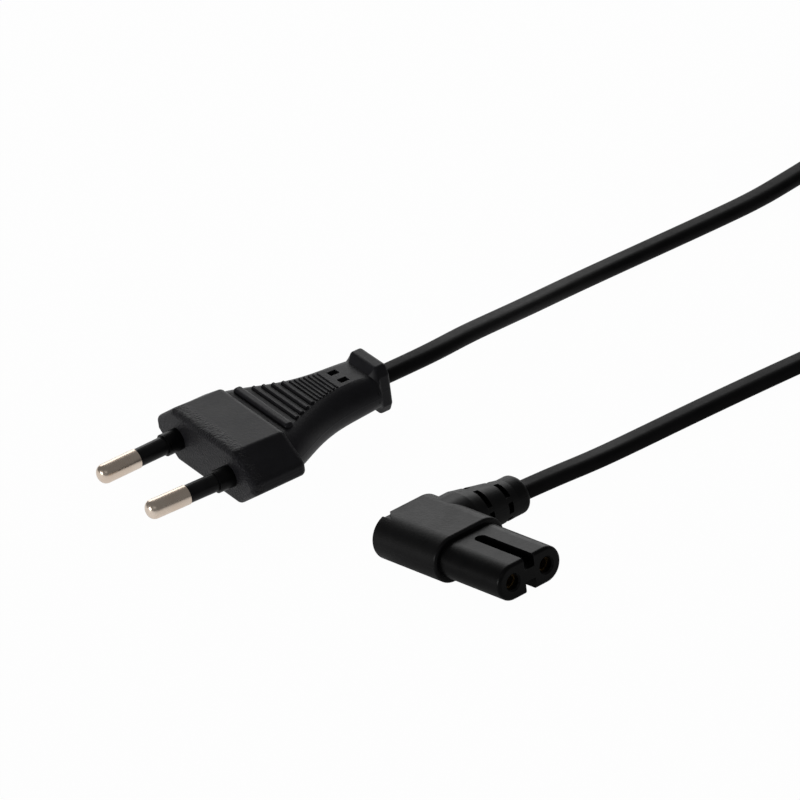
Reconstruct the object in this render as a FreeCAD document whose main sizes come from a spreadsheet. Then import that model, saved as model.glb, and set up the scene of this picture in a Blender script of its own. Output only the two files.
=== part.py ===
import FreeCAD, Part
import math
import os
import Sketcher

Vector = FreeCAD.Vector
Rotation = FreeCAD.Rotation
Placement = FreeCAD.Placement

# Driving dimensions, millimetres and degrees.
# The connector stands flat on its underside. Its nose points along +X and its
# strain relief along +Y. The plug lies beside it on the same cord.
SIZES = {
    # flat two-core cord
    "cord_width": 5.0,
    "cord_thickness": 3.1,
    "core_spacing": 2.3,
    "core_radius": 1.0,
    "strand_radius": 0.55,
    # figure eight nose
    "contact_pitch": 8.6,
    "lobe_radius": 3.7,
    "nose_length": 16.5,
    "nose_root_length": 2.4,
    "nose_root_radius": 3.0,
    "nose_edge_round": 0.7,
    "lobe_gap": 2.6,
    "lobe_gap_length": 14.2,
    "web_thickness": 2.4,
    "entry_radius": 1.55,
    "entry_depth": 1.5,
    "entry_chamfer": 0.35,
    # socket contacts
    "contact_outer_radius": 1.75,
    "contact_bore_radius": 1.22,
    "contact_setback": 4.5,
    "contact_back": 0.8,
    "contact_slit": 0.6,
    "contact_slit_length": 8.0,
    "contact_play": 0.05,
    "crimp_radius": 0.95,
    "crimp_length": 5.0,
    "crimp_proud": 0.3,
    # connector moulding
    "moulding_step": 1.1,
    "moulding_length": 18.05,
    "back_edge_round": 0.7,
    "step_edge_round": 0.6,
    "boot_axis_setback": 11.6,
    "boot_reach": 23.2,
    "boot_root_reach": 9.0,
    "boot_root_radius": 4.7,
    "boot_root_half_flat": 1.0,
    "boot_root_shift": 0.6,
    "boot_root_lift": 0.05,
    "boot_ring_length": 3.2,
    "boot_end_radius": 3.85,
    "boot_end_half_flat": 0.3,
    "boot_droop": 0.85,
    "boot_end_round": 1.1,
    "slot_width": 1.3,
    "slot_first": 12.3,
    "slot_pitch": 5.3,
    "slot_count": 2,
    "slot_wall": 0.5,
    "spine_width": 1.8,
    "slot_bridge": 0.9,
    "sheath_end_clearance": 0.2,
    "core_bend_radius": 3.0,
    "notch_length": 3.0,
    "notch_depth": 0.9,
    # where the plug lies: middle of its front face and its directions
    "plug_face_x": -68.505,
    "plug_face_y": -13.3,
    "plug_face_height": 7.28,
    "plug_heading": 80.91,
    "plug_rise": 3.57,
    "plug_roll": 5.07,
    # plug block
    "block_length": 12.6,
    "block_half_flat": 10.9,
    "block_half_width": 17.5,
    "block_side_half": 1.3,
    "block_half_height": 6.1,
    "block_rear_half_height": 5.5,
    "block_edge_round": 1.25,
    # plug grip
    "grip_start": 11.8,
    "grip_root_half_flat": 10.0,
    "grip_root_half_height": 4.5,
    "grip_root_half_width": 14.6,
    "shoulder_station": 17.0,
    "shoulder_half_flat": 8.2,
    "shoulder_half_height": 4.65,
    "shoulder_half_width": 12.1,
    "middle_station": 23.0,
    "middle_half_flat": 5.45,
    "middle_half_height": 4.5,
    "middle_half_width": 9.1,
    "waist_station": 29.0,
    "waist_half_flat": 3.9,
    "waist_half_height": 4.4,
    "waist_half_width": 7.4,
    "neck_station": 37.6,
    "neck_half_flat": 3.4,
    "neck_half_height": 3.6,
    "neck_half_width": 6.9,
    "ridge_start": 13.6,
    "ridge_length": 2.0,
    "ridge_half_flat": 9.6,
    "ridge_half_height": 5.5,
    "ridge_round": 0.7,
    # plug collar
    "rim_start": 38.4,
    "rim_length": 2.6,
    "rim_half_flat": 4.3,
    "rim_half_width": 5.3,
    "rim_side_half": 3.4,
    "rim_half_height": 5.4,
    "collar_round": 0.8,
    # ribs across the grip
    "coarse_rib_first": 17.4,
    "coarse_rib_pitch": 1.78,
    "coarse_rib_count": 4,
    "coarse_rib_width": 1.1,
    "coarse_rib_height": 0.55,
    "fine_rib_first": 24.1,
    "fine_rib_pitch": 0.95,
    "fine_rib_count": 7,
    "fine_rib_width": 0.5,
    "fine_rib_height": 0.3,
    "rib_edge_margin": 0.3,
    # moulding windows in the grip
    "window_station": 32.3,
    "window_spacing": 3.6,
    "window_width": 1.7,
    "window_length": 2.1,
    "window_depth": 1.6,
    # pins
    "pin_radius": 2.0,
    "pin_length": 19.0,
    "pin_spacing": 18.6,
    "pin_tip_spacing": 17.5,
    "pin_neck_radius": 1.3,
    "pin_tip_round": 1.6,
    "pin_flange_radius": 2.6,
    "pin_flange_length": 1.2,
    "pin_flange_proud": 0.3,
    "pin_crimp_radius": 1.3,
    "pin_crimp_length": 5.0,
    "sleeve_length": 10.0,
    "sleeve_root_radius": 1.93,
    "sleeve_tip_radius": 1.87,
    # pin bridge
    "boss_radius": 2.3,
    "boss_length": 3.5,
    "bridge_half_width": 13.2,
    "bridge_half_height": 3.6,
    "bridge_inset": 1.4,
    "bridge_thickness": 5.2,
    "plug_sheath_end": 31.0,
    "stub_proud": 3.0,
    "stub_overlap": 0.5,
    "plug_core_straight": 4.2,
    # coil of the length out of view
    "coil_centre_x": -37.375,
    "coil_centre_y": 184.05,
    "coil_inner_turn": 19.0,
    "coil_outer_turn": 34.0,
    "coil_rows": 2,
    "coil_row_height": 3.4,
    "coil_slack": 0.2,
    "coil_lead": 20.0,
    "lead_approach": 11.5,
    "coil_rest_height": 0.7,
    "tie_thickness": 0.6,
    "tie_width": 6.0,
    "tie_play": 0.1,
}

# Middle line of the cord between its exits and the coil, chosen by hand.
PLUG_SIDE_ROUTE = [
    (-60.17, 40.55, 10.60),
    (-61.77, 51.05, 9.90),
    (-64.27, 62.05, 8.10),
    (-67.47, 73.05, 5.90),
    (-70.67, 85.05, 3.80),
    (-72.67, 98.05, 2.30),
    (-72.87, 113.05, 1.70),
    (-72.17, 130.05, 1.60),
    (-71.67, 142.05, 1.70),
]
CONNECTOR_SIDE_ROUTE = [
    (-10.27, 25.55, 3.75),
    (-10.07, 36.05, 3.0),
    (-10.87, 48.05, 2.1),
    (-10.97, 62.05, 1.70),
    (-10.27, 78.05, 1.60),
    (-8.97, 96.05, 1.60),
    (-6.77, 116.05, 1.70),
    (-4.27, 136.05, 3.10),
]


def make_sheet(doc):
    """Keep the driving dimensions in a spreadsheet, one alias a size."""
    sheet = doc.addObject("Spreadsheet::Sheet", "Sizes")
    for row, (alias, value) in enumerate(SIZES.items(), start=1):
        sheet.set("A%d" % row, alias)
        sheet.set("B%d" % row, str(value))
        sheet.setAlias("B%d" % row, alias)
    doc.recompute()
    return sheet


def bind(obj, prop, expression):
    """Drive a property of obj from the sheet."""
    obj.setExpression(prop, expression)


def named(expression):
    """Turn plain size names in an expression into sheet references."""
    words = []
    for word in expression.split():
        sign = ""
        while word and word[0] in "-(":
            sign += word[0]
            word = word[1:]
        tail = ""
        while word and word[-1] in ")":
            tail = word[-1] + tail
            word = word[:-1]
        words.append(sign + ("Sizes." + word if word in SIZES else word) + tail)
    return " ".join(words)


class Maker:
    """Makes the features of one document, bound to its sheet."""

    def __init__(self, doc, sheet):
        self.doc = doc
        self.sheet = sheet

    def size(self, alias):
        return float(self.sheet.get(alias))

    def value(self, expression):
        """Work out an expression of size names with plus, minus, times and divide."""
        return float(self.sheet.evalExpression(named(expression)))

    def body(self, name, placement=None):
        body = self.doc.addObject("PartDesign::Body", name)
        if placement is not None:
            body.Placement = placement
        return body

    def sketch(self, body, name, role, offset):
        """Start a sketch on an origin plane of the body, moved along its normal."""
        sketch = body.newObject("Sketcher::SketchObject", name)
        plane = [item for item in body.Origin.OriginFeatures if item.Role == role][0]
        sketch.AttachmentSupport = [(plane, "")]
        sketch.MapMode = "FlatFace"
        if offset:
            bind(sketch, "AttachmentOffset.Base.z", named(offset))
        return sketch

    def pin_point(self, sketch, geometry, position, across, up):
        """Hold a point of the sketch at two expressions from the origin."""
        for kind, expression in (("DistanceX", across), ("DistanceY", up)):
            place = self.value(expression)
            index = sketch.addConstraint(
                Sketcher.Constraint(kind, -1, 1, geometry, position, place))
            bind(sketch, "Constraints[%d]" % index, named(expression))

    def polygon(self, body, name, role, offset, corners):
        """Sketch a closed polygon whose corners are pairs of expressions."""
        sketch = self.sketch(body, name, role, offset)
        places = [Vector(self.value(across), self.value(up), 0) for across, up in corners]
        count = len(places)
        for index in range(count):
            line = Part.LineSegment(places[index], places[(index + 1) % count])
            sketch.addGeometry(line, False)
        for index in range(count):
            following = (index + 1) % count
            sketch.addConstraint(Sketcher.Constraint("Coincident", index, 2, following, 1))
        for index, (across, up) in enumerate(corners):
            self.pin_point(sketch, index, 1, across, up)
        return sketch

    def stadium(self, body, name, role, offset, half_flat, radius, centre=("0", "0")):
        """Sketch a flattened round: two lines joined by two half circles."""
        sketch = self.sketch(body, name, role, offset)
        flat, round_size = self.value(half_flat), self.value(radius)
        across, up = self.value(centre[0]), self.value(centre[1])
        left, right = across - flat, across + flat
        top, bottom = up + round_size, up - round_size
        half_turn = math.pi / 2
        sketch.addGeometry(Part.LineSegment(Vector(left, top, 0), Vector(right, top, 0)), False)
        circle = Part.Circle(Vector(right, up, 0), Vector(0, 0, 1), round_size)
        sketch.addGeometry(Part.ArcOfCircle(circle, -half_turn, half_turn), False)
        line = Part.LineSegment(Vector(right, bottom, 0), Vector(left, bottom, 0))
        sketch.addGeometry(line, False)
        circle = Part.Circle(Vector(left, up, 0), Vector(0, 0, 1), round_size)
        sketch.addGeometry(Part.ArcOfCircle(circle, half_turn, 3 * half_turn), False)
        ends = ((0, 2, 1, 2), (1, 1, 2, 1), (2, 2, 3, 2), (3, 1, 0, 1))
        for first, first_end, second, second_end in ends:
            sketch.addConstraint(
                Sketcher.Constraint("Tangent", first, first_end, second, second_end))
        self.pin_point(sketch, 1, 3, "%s + %s" % (centre[0], half_flat), centre[1])
        place = self.value("%s - %s" % (centre[0], half_flat))
        index = sketch.addConstraint(Sketcher.Constraint("DistanceX", -1, 1, 3, 3, place))
        bind(sketch, "Constraints[%d]" % index, named("%s - %s" % (centre[0], half_flat)))
        index = sketch.addConstraint(Sketcher.Constraint("Radius", 1, round_size))
        bind(sketch, "Constraints[%d]" % index, named(radius))
        sketch.addConstraint(Sketcher.Constraint("Horizontal", 0))
        return sketch

    def arched(self, body, name, role, offset, half_flat, half_width, half_height):
        """Sketch a flat section whose two sides bulge out from crisp corners."""
        sketch = self.sketch(body, name, role, offset)
        flat, high = self.value(half_flat), self.value(half_height)
        wide = self.value(half_width)
        bulge = "(%s - %s)" % (half_width, half_flat)
        radius = "(%s * %s + %s * %s) / (2 * %s)" % (half_height, half_height,
                                                     bulge, bulge, bulge)
        corners = [Vector(-flat, high, 0), Vector(flat, high, 0),
                   Vector(flat, -high, 0), Vector(-flat, -high, 0)]
        sketch.addGeometry(Part.LineSegment(corners[0], corners[1]), False)
        sketch.addGeometry(Part.Arc(corners[1], Vector(wide, 0, 0), corners[2]), False)
        sketch.addGeometry(Part.LineSegment(corners[2], corners[3]), False)
        sketch.addGeometry(Part.Arc(corners[3], Vector(-wide, 0, 0), corners[0]), False)
        for first, first_end, second, second_end in ((0, 1, 3, 1), (0, 2, 1, 2),
                                                     (2, 1, 1, 1), (2, 2, 3, 2)):
            sketch.addConstraint(
                Sketcher.Constraint("Coincident", first, first_end, second, second_end))
        self.pin_point(sketch, 0, 1, "-" + half_flat, half_height)
        self.pin_point(sketch, 0, 2, half_flat, half_height)
        self.pin_point(sketch, 2, 1, half_flat, "-" + half_height)
        self.pin_point(sketch, 2, 2, "-" + half_flat, "-" + half_height)
        for side in (1, 3):
            place = self.value(radius)
            index = sketch.addConstraint(Sketcher.Constraint("Radius", side, place))
            bind(sketch, "Constraints[%d]" % index, named(radius))
        return sketch

    def pad(self, body, name, sketch, length, backwards=False):
        pad = body.newObject("PartDesign::Pad", name)
        pad.Profile = sketch
        bind(pad, "Length", named(length))
        pad.Reversed = backwards
        self.doc.recompute()
        return pad

    def pocket(self, body, name, sketch, length, backwards=False):
        """Cut a profile into the body and make sure that it took something away."""
        before = body.Shape.Volume
        pocket = body.newObject("PartDesign::Pocket", name)
        pocket.Profile = sketch
        bind(pocket, "Length", named(length))
        pocket.Reversed = backwards
        self.doc.recompute()
        if body.Shape.Volume > before - 1e-6:
            raise RuntimeError("%s cuts nothing" % name)
        return pocket

    def loft(self, body, name, sketches, ruled=False):
        loft = body.newObject("PartDesign::AdditiveLoft", name)
        loft.Profile = sketches[0]
        loft.Sections = sketches[1:]
        loft.Ruled = ruled
        self.doc.recompute()
        return loft

    def fillet(self, body, name, radius, wanted):
        """Round the edges of the body's last feature that the test picks."""
        base = body.Tip
        edges = ["Edge%d" % number for number, edge in enumerate(base.Shape.Edges, start=1)
                 if wanted(edge)]
        fillet = body.newObject("PartDesign::Fillet", name)
        fillet.Base = (base, edges)
        bind(fillet, "Radius", named(radius))
        self.doc.recompute()
        return fillet

    def rounded(self, name, base, radius, wanted=lambda edge: True):
        """Round the edges of a lofted form, sewn again from its faces first."""
        solid = Part.Solid(Part.Shell(base.Shape.Faces))
        edges = [edge for edge in solid.Edges if wanted(edge)]
        return self.feature(name, solid.makeFillet(self.size(radius), edges))

    def cylinder(self, name, radius, length, placement):
        cylinder = self.doc.addObject("Part::Cylinder", name)
        bind(cylinder, "Radius", named(radius))
        bind(cylinder, "Height", named(length))
        cylinder.Placement = placement
        return cylinder

    def fuse(self, name, shapes):
        fuse = self.doc.addObject("Part::MultiFuse", name)
        fuse.Shapes = shapes
        return fuse

    def cut(self, name, base, tools):
        """Take the tools out of the base, as the moulding takes their form."""
        cut = self.doc.addObject("Part::Cut", name)
        cut.Base = base
        cut.Tool = tools[0] if len(tools) == 1 else self.fuse(name + "_tools", tools)
        self.doc.recompute()
        return cut

    def feature(self, name, shape, placement=None):
        feature = self.doc.addObject("Part::Feature", name)
        feature.Shape = shape
        if placement is not None:
            feature.Placement = placement
        return feature


def rounded_path(points):
    """Straight runs joined by tangent arcs, each as large as its runs allow."""
    edges, radii = [], []
    start = points[0]
    for before, corner, after in zip(points, points[1:], points[2:]):
        run_in, run_out = corner.sub(before), after.sub(corner)
        trim = 0.45 * min(run_in.Length, run_out.Length)
        turn = run_in.getAngle(run_out)
        radii.append(trim / math.tan(turn / 2))
        entry = corner.sub(Vector(run_in).normalize().multiply(trim))
        leave = corner.add(Vector(run_out).normalize().multiply(trim))
        inward = entry.add(leave).multiply(0.5).sub(corner)
        depth = radii[-1] / math.cos(turn / 2) - radii[-1]
        middle = corner.add(inward.normalize().multiply(depth))
        edges.append(Part.LineSegment(start, entry).toShape())
        edges.append(Part.Arc(entry, middle, leave).toShape())
        start = leave
    edges.append(Part.LineSegment(start, points[-1]).toShape())
    return Part.Wire(edges), radii


def stadium_wire(width, thickness, placement):
    """Outline of the flat cord's section in the YZ plane, moved by a placement."""
    flat, radius = (width - thickness) / 2, thickness / 2
    top = Part.LineSegment(Vector(0, -flat, radius), Vector(0, flat, radius))
    right = Part.Arc(Vector(0, flat, radius), Vector(0, flat + radius, 0), Vector(0, flat, -radius))
    bottom = Part.LineSegment(Vector(0, flat, -radius), Vector(0, -flat, -radius))
    left = Part.Arc(Vector(0, -flat, -radius), Vector(0, -flat - radius, 0), Vector(0, -flat, radius))
    wire = Part.Wire([item.toShape() for item in (top, right, bottom, left)])
    wire.Placement = placement
    return wire


def swept_cord(points, width, thickness):
    """Flat cord along straight runs and arcs, lying with its wide side level."""
    path, radii = rounded_path(points)
    level = Vector(0, 0, 1)
    across = level.cross(points[1].sub(points[0])).normalize()
    turn = Rotation(across.cross(level), across, level, "XYZ")
    section = stadium_wire(width, thickness, Placement(points[0], turn))
    sweep = Part.BRepOffsetAPI.MakePipeShell(path)
    sweep.setBiNormalMode(level)
    sweep.add(section)
    sweep.build()
    sweep.makeSolid()
    return Part.Solid(sweep.shape()), path, radii


def round_wire_along(points, radius):
    """Round wire along straight runs joined by arcs."""
    path = rounded_path(points)[0]
    along = points[1].sub(points[0]).normalize()
    circle = Part.Wire([Part.Circle(points[0], along, radius).toShape()])
    return Part.Solid(path.makePipeShell([circle], True, False))


def plug_pose(maker):
    """Seat of the plug: X from its face to its collar, Z out of its top."""
    base = Vector(maker.size("plug_face_x"), maker.size("plug_face_y"),
                  maker.size("plug_face_height"))
    heading = Rotation(Vector(0, 0, 1), maker.size("plug_heading"))
    rise = Rotation(Vector(0, 1, 0), -maker.size("plug_rise"))
    roll = Rotation(Vector(1, 0, 0), maker.size("plug_roll"))
    return Placement(base, heading.multiply(rise).multiply(roll))


def connector_pose(maker):
    """Seat of the connector: nose face at X 0, contacts about Y 0, floor at Z 0."""
    length = maker.value("nose_length + moulding_length")
    near_side = maker.value("contact_pitch / 2 + lobe_radius + moulding_step")
    return Placement(Vector(length / 2, (near_side - maker.size("boot_reach")) / 2, 0),
                     Rotation())


NOSE_HEIGHT = "lobe_radius + moulding_step"
BORE_LENGTH = "nose_length - contact_setback"
CRIMP_END = "nose_length + nose_root_length + crimp_proud"
SHEATH_END = "contact_pitch / 2 + core_bend_radius + sheath_end_clearance"


def add_nose(maker, pose):
    """Hard insert of the connector: two lobes joined by a thin web."""
    body = maker.body("nose_form", pose)
    outline = maker.stadium(body, "nose_outline", "YZ_Plane", "-nose_length",
                            "contact_pitch / 2", "lobe_radius", ("0", NOSE_HEIGHT))
    maker.pad(body, "nose_pad", outline, "nose_length")
    front = maker.doc.getObject("nose_pad").Shape.BoundBox.XMax
    maker.fillet(body, "nose_front_round", "nose_edge_round",
                 lambda edge: edge.BoundBox.XMin > front - 1e-6)
    root = maker.stadium(body, "root_outline", "YZ_Plane", "-nose_length",
                         "contact_pitch / 2", "nose_root_radius", ("0", NOSE_HEIGHT))
    maker.pad(body, "root_pad", root, "nose_root_length", backwards=True)
    return body


def add_lobe_gaps(maker, pose):
    """Grooves above and below the web, each with a round blind end."""
    gaps = []
    half_web = maker.size("web_thickness") / 2
    height = maker.value(NOSE_HEIGHT)
    reach = maker.size("lobe_gap_length") - maker.size("lobe_gap") / 2
    for name, side in (("upper_gap", 1), ("lower_gap", -1)):
        slab = maker.doc.addObject("Part::Box", name + "_slab")
        bind(slab, "Length", named("lobe_gap_length - lobe_gap / 2 + 1"))
        bind(slab, "Width", named("lobe_gap"))
        bind(slab, "Height", named("lobe_radius"))
        low = height + half_web if side > 0 else height - half_web - maker.size("lobe_radius")
        corner = Vector(-reach, -maker.size("lobe_gap") / 2, low)
        slab.Placement = pose.multiply(Placement(corner, Rotation()))
        end = maker.cylinder(name + "_end", "lobe_gap / 2", "lobe_radius",
                             pose.multiply(Placement(Vector(-reach, 0, low), Rotation())))
        gaps += [slab, end]
    return gaps


def add_contact(maker, pose, name, side):
    """Brass socket: a slit sleeve with a closed back, and a crimp behind it."""
    centre = Vector(-maker.size("entry_depth"), side * maker.size("contact_pitch") / 2,
                    maker.value(NOSE_HEIGHT))
    seat = pose.multiply(Placement(centre, Rotation(Vector(0, 1, 0), -90)))
    sleeve = maker.cylinder(name + "_sleeve", "contact_outer_radius",
                            BORE_LENGTH + " + contact_back", seat)
    crimp = maker.cylinder(name + "_crimp", "crimp_radius", CRIMP_END + " - entry_depth", seat)
    bore = maker.cylinder(name + "_bore", "contact_bore_radius", BORE_LENGTH, seat)
    wire_hole = maker.cylinder(name + "_wire_hole", "strand_radius",
                               CRIMP_END + " - entry_depth", seat)
    slit = maker.doc.addObject("Part::Box", name + "_slit")
    bind(slit, "Length", named("contact_outer_radius + 1"))
    bind(slit, "Width", named("contact_slit"))
    bind(slit, "Height", named("contact_slit_length"))
    turn = Placement(Vector(0, -maker.size("contact_slit") / 2, 0), Rotation())
    slit.Placement = seat.multiply(turn)
    outside = maker.fuse(name + "_outside", [sleeve, crimp])
    return maker.cut(name, outside, [bore, wire_hole, slit])


def add_contact_seat(maker, pose, name, side):
    """Room for a contact in the nose, with the narrower entry hole in front."""
    height = maker.value(NOSE_HEIGHT)
    middle = side * maker.size("contact_pitch") / 2
    turn = Rotation(Vector(0, 1, 0), -90)
    seat = pose.multiply(Placement(Vector(-maker.size("entry_depth"), middle, height), turn))
    room = maker.cylinder(name + "_room", "contact_outer_radius + contact_play",
                          BORE_LENGTH + " + contact_back", seat)
    tail = maker.cylinder(name + "_tail", "crimp_radius", CRIMP_END + " - entry_depth", seat)
    front = pose.multiply(Placement(Vector(0, middle, height), turn))
    entry = maker.cylinder(name + "_entry", "entry_radius", "entry_depth", front)
    mouth = maker.doc.addObject("Part::Cone", name + "_mouth")
    bind(mouth, "Radius1", named("entry_radius + entry_chamfer"))
    bind(mouth, "Radius2", named("entry_radius"))
    bind(mouth, "Height", named("entry_chamfer"))
    mouth.Placement = front
    return [room, tail, entry, mouth]


def connector_core_points(maker, side):
    """Corners of one core's route from the cord's end to its contact."""
    height = maker.value(NOSE_HEIGHT)
    axis = -maker.value("nose_length + boot_axis_setback")
    lane = axis + side * maker.size("core_spacing") / 2
    line = side * maker.size("contact_pitch") / 2
    crimp_end = -maker.value(CRIMP_END)
    bend = maker.size("core_bend_radius")
    start = Vector(lane, maker.value(SHEATH_END), height)
    return start, Vector(lane, line, height), Vector(crimp_end, line, height), bend


def bent_wire(start, corner, end, bend, radius):
    """Round wire with one bend of a given radius."""
    run_in, run_out = corner.sub(start), end.sub(corner)
    turn = run_in.getAngle(run_out)
    trim = bend * math.tan(turn / 2)
    entry = corner.sub(Vector(run_in).normalize().multiply(trim))
    leave = corner.add(Vector(run_out).normalize().multiply(trim))
    inward = entry.add(leave).multiply(0.5).sub(corner).normalize()
    middle = corner.add(inward.multiply(bend / math.cos(turn / 2) - bend))
    path = Part.Wire([Part.LineSegment(start, entry).toShape(),
                      Part.Arc(entry, middle, leave).toShape(),
                      Part.LineSegment(leave, end).toShape()])
    along = Vector(run_in).normalize()
    circle = Part.Wire([Part.Circle(start, along, radius).toShape()])
    return path.makePipeShell([circle], True, False)


def add_connector_core(maker, pose, name, side):
    """Insulation and copper strands of one core inside the connector."""
    start, corner, crimp_end, bend = connector_core_points(maker, side)
    strand_end = crimp_end.add(Vector(maker.size("crimp_length"), 0, 0))
    wire = bent_wire(start, corner, strand_end, bend, maker.size("strand_radius"))
    cover = bent_wire(start, corner, crimp_end, bend, maker.size("core_radius"))
    strands = maker.feature(name + "_strands_connector", wire, pose)
    insulation = maker.feature(name + "_core_connector", cover.cut(wire), pose)
    return insulation, strands


def add_connector_form(maker, pose):
    """Outside of the connector moulding: flattened round block and its boot."""
    body = maker.body("connector_form", pose)
    outline = maker.stadium(body, "block_outline", "YZ_Plane", "-nose_length",
                            "contact_pitch / 2", "lobe_radius + moulding_step",
                            ("0", NOSE_HEIGHT))
    maker.pad(body, "block_pad", outline, "moulding_length", backwards=True)
    back = maker.doc.getObject("block_pad").Shape.BoundBox.XMin
    front = maker.doc.getObject("block_pad").Shape.BoundBox.XMax
    maker.fillet(body, "back_round", "back_edge_round",
                 lambda edge: edge.BoundBox.XMax < back + 1e-6)
    maker.fillet(body, "step_round", "step_edge_round",
                 lambda edge: edge.BoundBox.XMin > front - 1e-6)
    return body


def add_boot_form(maker, pose):
    """Strain relief: narrows from the block to a round ended ring."""
    body = maker.body("boot_form", pose)
    root_centre = ("-(nose_length + boot_axis_setback + boot_root_shift)",
                   "lobe_radius + moulding_step + boot_root_lift")
    end_centre = ("-(nose_length + boot_axis_setback)", NOSE_HEIGHT + " - boot_droop")
    inner = maker.stadium(body, "boot_inner", "XZ_Plane", "-contact_pitch / 4",
                          "boot_root_half_flat", "boot_root_radius", root_centre)
    root = maker.stadium(body, "boot_root", "XZ_Plane", "-boot_root_reach",
                         "boot_root_half_flat", "boot_root_radius", root_centre)
    end = maker.stadium(body, "boot_end", "XZ_Plane", "-(boot_reach - boot_ring_length)",
                        "boot_end_half_flat", "boot_end_radius", end_centre)
    ring = maker.stadium(body, "boot_ring", "XZ_Plane", "-(boot_reach - boot_ring_length)",
                         "boot_end_half_flat", "boot_end_radius", end_centre)
    maker.loft(body, "boot_loft", [inner, root, end], ruled=True)
    maker.pad(body, "ring_pad", ring, "boot_ring_length", backwards=True)
    maker.fillet(body, "ring_round", "boot_end_round",
                 lambda edge: edge.BoundBox.YMin > maker.size("boot_reach") - 1e-6)
    return body


def cord_height_in_boot(maker, station):
    """Height of the cord's middle in the boot, which droops towards its end."""
    sheath_end = maker.value(SHEATH_END)
    share = (station - sheath_end) / (maker.size("boot_reach") - sheath_end)
    return maker.value(NOSE_HEIGHT) - maker.size("boot_droop") * share


def add_boot_slots(maker, pose):
    """Slots round the boot that let it bend: two on top, two below, one a side."""
    slots = []
    axis = -maker.value("nose_length + boot_axis_setback")
    half_wide, half_thick = maker.size("cord_width") / 2, maker.size("cord_thickness") / 2
    wall, spine = maker.size("slot_wall"), maker.size("spine_width") / 2
    bridge = maker.size("slot_bridge")
    spine_place = axis - maker.size("boot_root_shift")
    near_wall, far_wall = axis + half_wide + wall, axis - half_wide - wall
    outside = maker.value("boot_root_radius + boot_root_half_flat + boot_root_shift") + 2
    for number in range(int(maker.size("slot_count"))):
        station = maker.size("slot_first") + number * maker.size("slot_pitch")
        middle = cord_height_in_boot(maker, station)
        top_wall, bottom_wall = middle + half_thick + wall, middle - half_thick - wall
        spans = (
            ("near_top", spine_place + spine, axis + outside, top_wall, middle + outside),
            ("far_top", axis - outside, spine_place - spine, top_wall, middle + outside),
            ("near_bottom", spine_place + spine, axis + outside, middle - outside, bottom_wall),
            ("far_bottom", axis - outside, spine_place - spine, middle - outside, bottom_wall),
            ("near_side", near_wall, axis + outside, bottom_wall + bridge, top_wall - bridge),
            ("far_side", axis - outside, far_wall, bottom_wall + bridge, top_wall - bridge),
        )
        for label, low_x, high_x, low_z, high_z in spans:
            slot = maker.doc.addObject("Part::Box", "slot_%s_%d" % (label, number + 1))
            slot.Length = high_x - low_x
            bind(slot, "Width", named("slot_width"))
            slot.Height = high_z - low_z
            corner = Vector(low_x, station - maker.size("slot_width") / 2, low_z)
            slot.Placement = pose.multiply(Placement(corner, Rotation()))
            slots.append(slot)
    return slots


def add_notch(maker, pose):
    """Small corner recess at the back of the connector's top."""
    length, depth = maker.size("notch_length"), maker.size("notch_depth")
    back = -maker.value("nose_length + moulding_length")
    top = maker.value("2 * (lobe_radius + moulding_step)")
    side = (length - maker.size("contact_pitch")) / 2
    corners = [Vector(back - 1, side - length, top - depth), Vector(back - 1, side, top - depth),
               Vector(back + length, side - length, top - depth)]
    wire = Part.makePolygon(corners + corners[:1])
    prism = Part.Face(wire).extrude(Vector(0, 0, depth + 1))
    return maker.feature("back_notch", prism, pose)


def add_connector(maker, pose, cord):
    """All the pieces of the figure eight connector."""
    near = add_contact(maker, pose, "contact_blue", -1)
    far = add_contact(maker, pose, "contact_brown", 1)
    blue_core, blue_strands = add_connector_core(maker, pose, "blue", -1)
    brown_core, brown_strands = add_connector_core(maker, pose, "brown", 1)
    seats = add_contact_seat(maker, pose, "seat_blue", -1)
    seats += add_contact_seat(maker, pose, "seat_brown", 1)
    nose = maker.cut("nose_insert", add_nose(maker, pose), add_lobe_gaps(maker, pose) + seats)
    outside = maker.fuse("connector_outside",
                         [add_connector_form(maker, pose), add_boot_form(maker, pose)])
    slotted = maker.cut("connector_slotted", outside,
                        add_boot_slots(maker, pose) + [add_notch(maker, pose)])
    seat = add_insert_seat(maker, pose)
    inner = [seat, near, far, blue_core, brown_core, blue_strands, brown_strands, cord]
    moulding = maker.cut("connector_body", slotted, inner)
    return [moulding, nose, near, far, blue_core, brown_core, blue_strands, brown_strands]


def add_insert_seat(maker, pose):
    """Form of the insert's root that the moulding closes round."""
    body = maker.body("insert_seat", pose)
    root = maker.stadium(body, "seat_outline", "YZ_Plane", "-nose_length",
                         "contact_pitch / 2", "nose_root_radius", ("0", NOSE_HEIGHT))
    maker.pad(body, "seat_pad", root, "nose_root_length", backwards=True)
    return body


def hexagon(half_flat, half_width, side_half, half_height):
    """Corners of the plug's eight cornered section with sloping sides."""
    return [(half_flat, half_height), ("-" + half_flat, half_height),
            ("-" + half_width, side_half), ("-" + half_width, "-" + side_half),
            ("-" + half_flat, "-" + half_height), (half_flat, "-" + half_height),
            (half_width, "-" + side_half), (half_width, side_half)]


def add_plug_block(maker, pose):
    """Front block of the plug, a little thinner towards the grip."""
    body = maker.body("plug_block_form", pose)
    front = maker.polygon(body, "block_front", "YZ_Plane", "",
                          hexagon("block_half_flat", "block_half_width",
                                  "block_side_half", "block_half_height"))
    rear = maker.polygon(body, "block_rear", "YZ_Plane", "block_length",
                         hexagon("block_half_flat", "block_half_width",
                                 "block_side_half", "block_rear_half_height"))
    maker.loft(body, "block_loft", [front, rear], ruled=True)
    return maker.rounded("block_rounded", body, "block_edge_round")


GRIP_STATIONS = (("grip_start", "grip_root"), ("shoulder_station", "shoulder"),
                 ("middle_station", "middle"), ("waist_station", "waist"),
                 ("neck_station", "neck"))


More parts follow.
